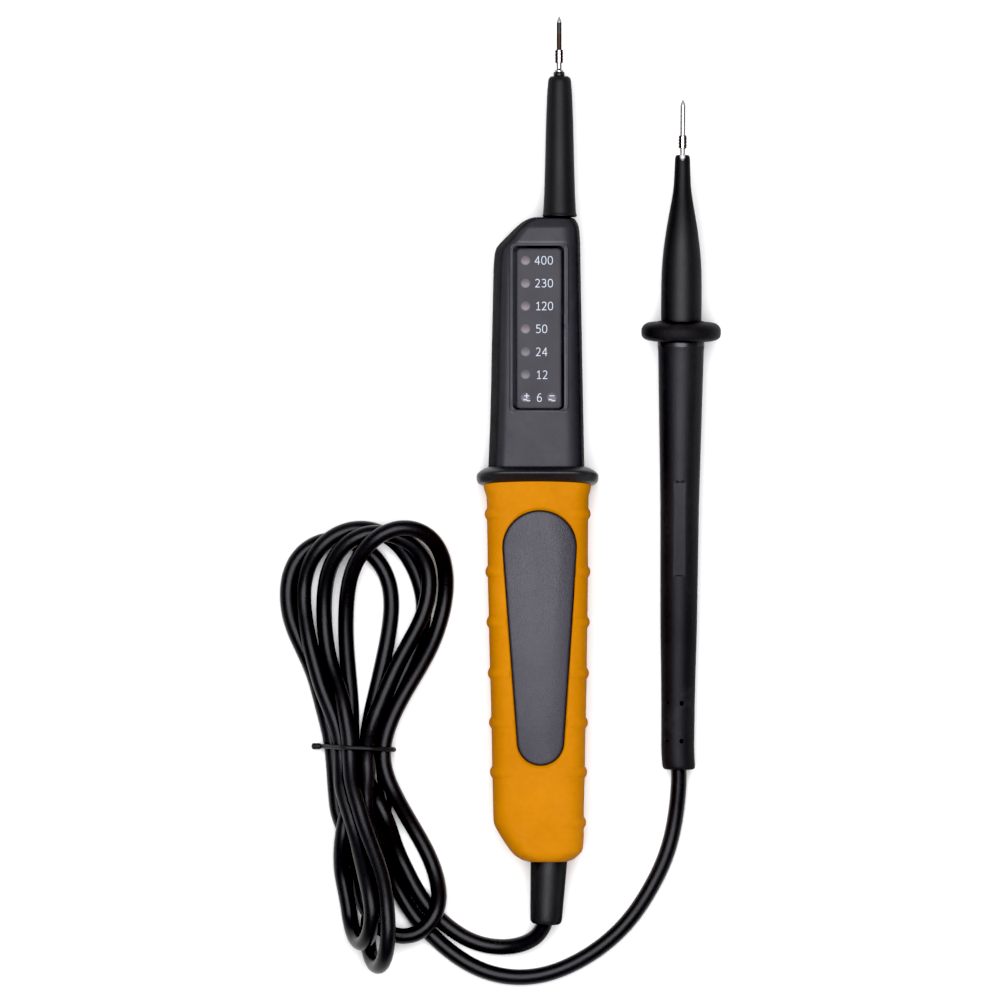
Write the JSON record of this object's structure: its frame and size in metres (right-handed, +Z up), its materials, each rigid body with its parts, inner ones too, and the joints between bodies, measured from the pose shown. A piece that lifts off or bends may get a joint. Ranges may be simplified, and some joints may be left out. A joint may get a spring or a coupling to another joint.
{
  "type": "two-pole voltage tester",
  "caption": "Two-pole voltage tester: a hand-held display unit with stepped lights and a tip, tied by a cord to a second hand probe with a guard disc.",
  "frame": {"origin": "centre of the bottom of the box around the display unit and the second probe (cord left out), lying on its back on Z = 0", "axes": "+Y from the strain relief to the tips (longest extent), +X from the display unit to the second probe, +Z up out of the display face (shortest extent)"},
  "size_m": [0.1278, 0.2811, 0.0265],
  "materials": {
    "housing": "fine satin",
    "grip": "soft matt",
    "panel": "fine grain",
    "window": "smoked, smooth",
    "light": "diffused",
    "holder": "matt",
    "steel": "nickel plated",
    "brass": "bare",
    "board": "lacquered",
    "component": "moulded",
    "ceramic": "lacquered",
    "screw": "zinc plated",
    "boot": "satin",
    "cord": "glossy satin",
    "tie": "satin"
  },
  "bodies": {
    "tester": {"front_shell": "housing", "back_shell": "housing", "finger_guard": "housing", "grip_sleeve": "grip", "label_panel": "panel", "display_lens": "window", "led_holder": "holder", "leds": "light", "circuit_board": "board", "driver_chip": "component", "rectifier_diodes": "component", "series_resistors": "ceramic", "ptc_thermistors": "ceramic", "case_screws": "screw", "nose_sleeve": "housing", "tip_collar": "housing", "tip_washer": "steel", "tip_thread": "brass", "probe_tip": "steel", "tip_rod": "brass", "tip_wire": "component", "cable_boot": "boot", "cord_clamp": "holder", "clamp_screws": "screw", "cord_stub": "cord", "lead_wire": "component", "cord_to_tester": "cord", "cord_hank": "cord", "cord_to_probe": "cord", "cord_tie": "tie"},
    "second_probe": {"probe2_handle": "housing", "probe2_guard_disc": "housing", "probe2_nose": "housing", "probe2_thread": "brass", "probe2_tip": "steel", "probe2_rod": "brass", "probe2_ferrule": "screw", "probe2_wire": "component", "probe2_cord_stub": "cord"}
  },
  "joints": [
    {"name": "probe_swing", "type": "hinge", "parent": "tester", "child": "second_probe", "pos_m": [0.0228, -0.0867, 0.0048], "axis": [0, 0, 1], "range_deg": [-25, 5]}
  ]
}
